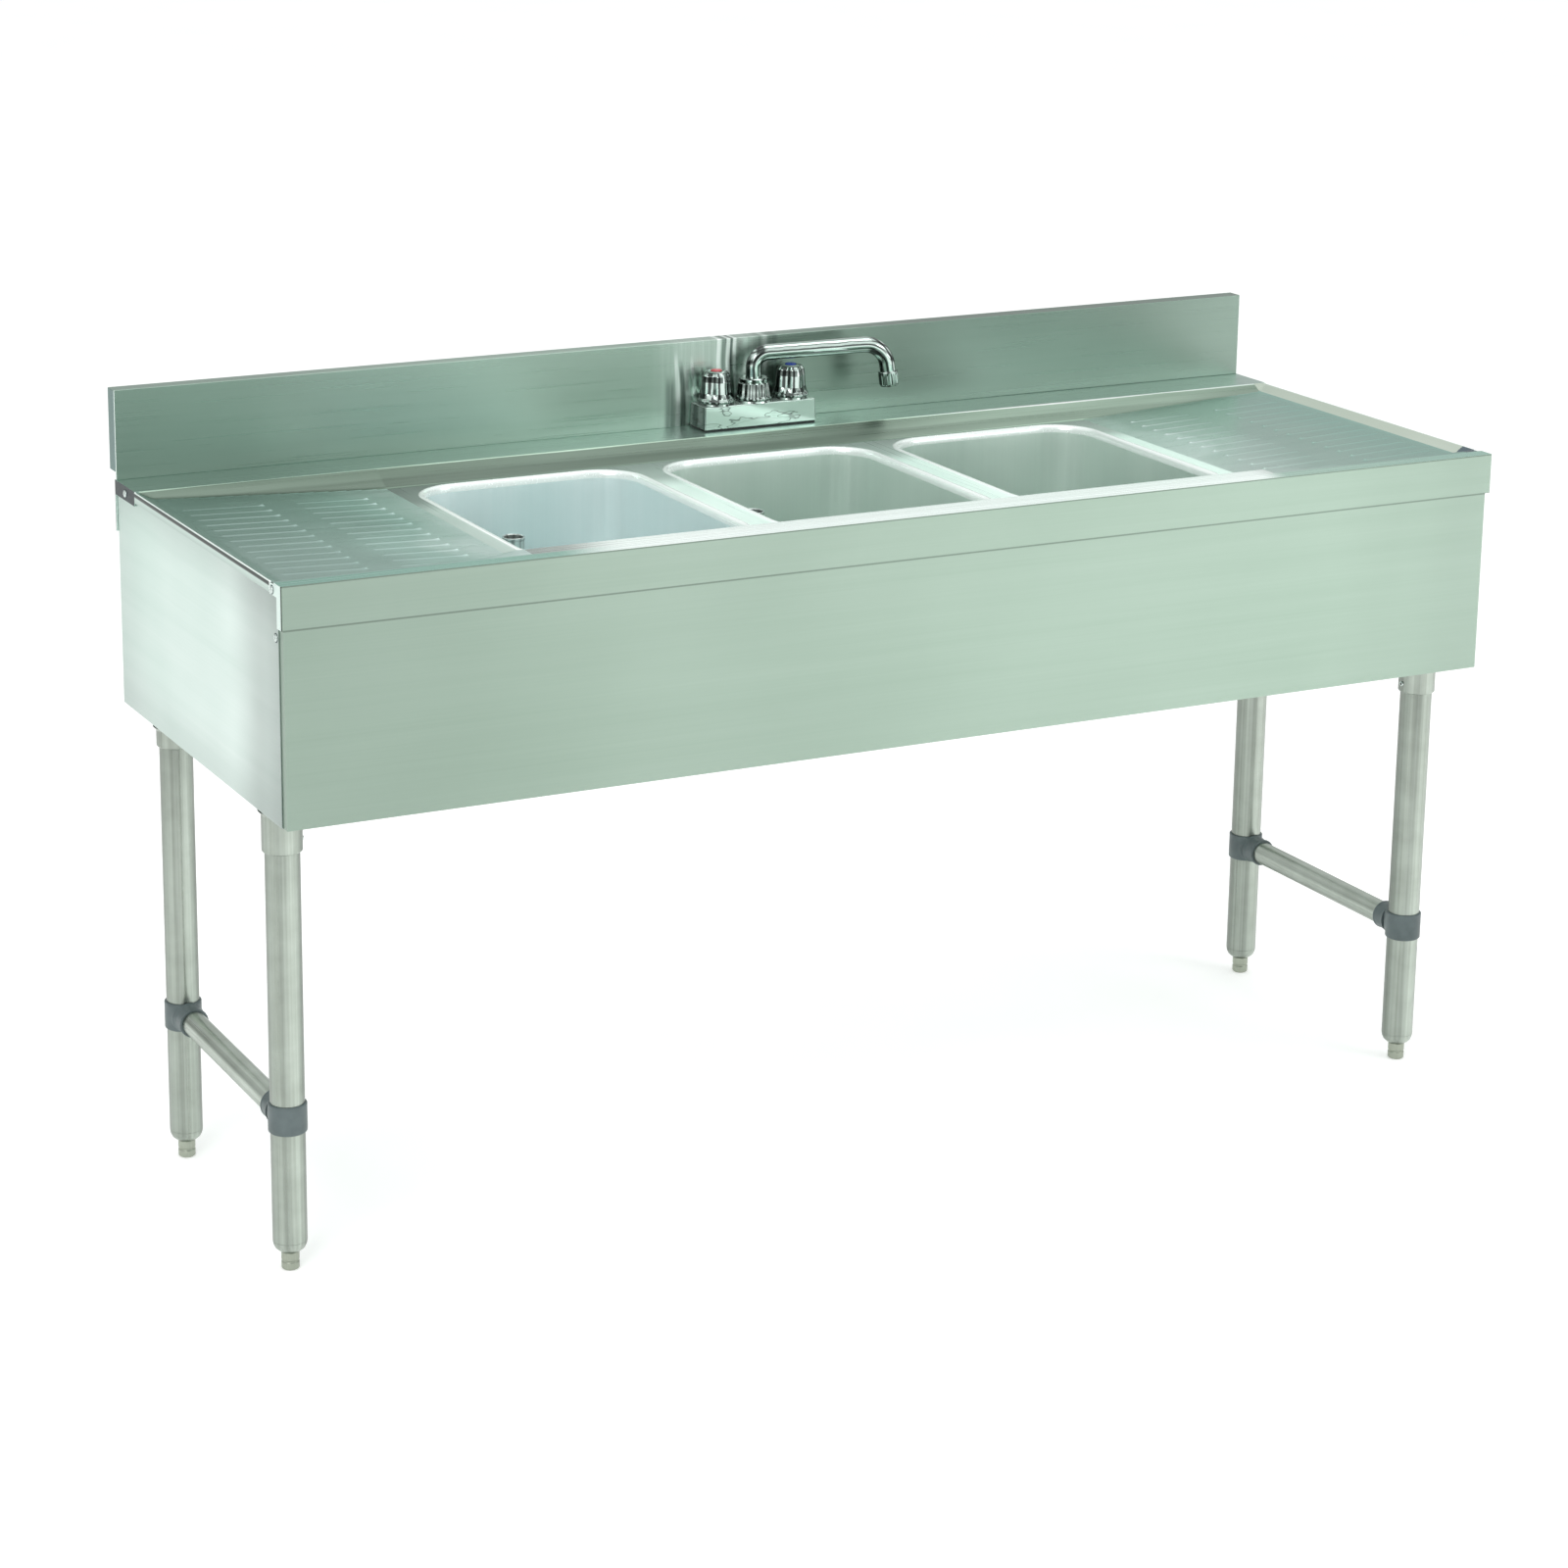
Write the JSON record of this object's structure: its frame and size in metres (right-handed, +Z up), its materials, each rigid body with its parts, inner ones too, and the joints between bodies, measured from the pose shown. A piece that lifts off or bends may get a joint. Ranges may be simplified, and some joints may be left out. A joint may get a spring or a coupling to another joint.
{
  "type": "three compartment sink",
  "caption": "Free-standing underbar sink: bowls between sloping ribbed drainboards, low backsplash, deck faucet with swing spout, lift-out overflow tubes, tubular legs.",
  "frame": {"origin": "floor level at the centre of the footprint", "axes": "+X along the length to the right seen from the front, +Y to the wall behind, +Z up"},
  "size_m": [1.5272, 0.558, 0.892],
  "materials": {
    "brushed_steel": "brushed, faint green-grey cast",
    "apron_steel": "fine horizontal brush",
    "bowl_steel": "drawn and satin polished",
    "channel_steel": "mill finish",
    "leg_steel": "satin tube",
    "tee_plastic": "moulded, soft sheen",
    "black_rubber": "matt",
    "chrome": "polished",
    "brass": "machined",
    "screw_steel": "plain",
    "red_index": "gloss",
    "blue_index": "gloss"
  },
  "bodies": {
    "frame": {"front_nosing": "apron_steel", "front_skirt": "apron_steel", "side_panel_left": "apron_steel", "side_panel_right": "apron_steel", "drainboard_left": "brushed_steel", "drainboard_right": "brushed_steel", "bowl_deck": "brushed_steel", "rear_ledge": "brushed_steel", "backsplash": "brushed_steel", "leg_channel_left": "channel_steel", "leg_channel_right": "channel_steel", "bowl_left": "bowl_steel", "bowl_centre": "bowl_steel", "bowl_right": "bowl_steel", "drain_bodies": "chrome", "drain_gaskets": "black_rubber", "drain_locknuts": "brass", "leg_front_left": "leg_steel", "leg_front_right": "leg_steel", "leg_rear_left": "leg_steel", "leg_rear_right": "leg_steel", "leg_sockets": "leg_steel", "socket_set_screws": "screw_steel", "foot_inserts": "leg_steel", "tee_front_left": "tee_plastic", "tee_front_right": "tee_plastic", "tee_rear_left": "tee_plastic", "tee_rear_right": "tee_plastic", "brace_left": "leg_steel", "brace_right": "leg_steel", "faucet_gasket": "black_rubber", "faucet_body": "chrome", "supply_shanks": "brass", "shank_locknuts": "brass", "valve_bonnets": "brass", "spout_nut": "chrome", "apron_screws": "screw_steel"},
    "foot_front_left": {"foot_front_left": "screw_steel"},
    "foot_front_right": {"foot_front_right": "screw_steel"},
    "foot_rear_left": {"foot_rear_left": "screw_steel"},
    "foot_rear_right": {"foot_rear_right": "screw_steel"},
    "overflow_tube_left": {"overflow_tube_left": "chrome"},
    "overflow_tube_centre": {"overflow_tube_centre": "chrome"},
    "overflow_tube_right": {"overflow_tube_right": "chrome"},
    "hot_handle": {"hot_handle": "chrome", "hot_stem": "brass", "hot_handle_screw": "screw_steel", "hot_index": "red_index"},
    "cold_handle": {"cold_handle": "chrome", "cold_stem": "brass", "cold_handle_screw": "screw_steel", "cold_index": "blue_index"},
    "spout": {"spout_tube": "chrome", "spout_o_ring": "black_rubber", "aerator": "chrome"}
  },
  "joints": [
    {"name": "foot_front_left_adjust", "type": "slide", "parent": "frame", "child": "foot_front_left", "axis": [0, 0, -1], "range_m": [0, 0.025]},
    {"name": "foot_front_right_adjust", "type": "slide", "parent": "frame", "child": "foot_front_right", "axis": [0, 0, -1], "range_m": [0, 0.025]},
    {"name": "foot_rear_left_adjust", "type": "slide", "parent": "frame", "child": "foot_rear_left", "axis": [0, 0, -1], "range_m": [0, 0.025]},
    {"name": "foot_rear_right_adjust", "type": "slide", "parent": "frame", "child": "foot_rear_right", "axis": [0, 0, -1], "range_m": [0, 0.025]},
    {"name": "overflow_tube_left_lift", "type": "slide", "parent": "frame", "child": "overflow_tube_left", "axis": [0, 0, 1], "range_m": [0, 0.28]},
    {"name": "overflow_tube_centre_lift", "type": "slide", "parent": "frame", "child": "overflow_tube_centre", "axis": [0, 0, 1], "range_m": [0, 0.28]},
    {"name": "overflow_tube_right_lift", "type": "slide", "parent": "frame", "child": "overflow_tube_right", "axis": [0, 0, 1], "range_m": [0, 0.28]},
    {"name": "hot_handle_turn", "type": "hinge", "parent": "frame", "child": "hot_handle", "pos_m": [-0.0108, 0.234, 0.84], "axis": [0, 0, 1], "range_deg": [0, 450]},
    {"name": "cold_handle_turn", "type": "hinge", "parent": "frame", "child": "cold_handle", "pos_m": [0.0908, 0.234, 0.84], "axis": [0, 0, 1], "range_deg": [-450, 0]},
    {"name": "spout_swing", "type": "hinge", "parent": "frame", "child": "spout", "pos_m": [0.04, 0.234, 0.85], "axis": [0, 0, 1], "range_deg": [-168, 11]}
  ]
}
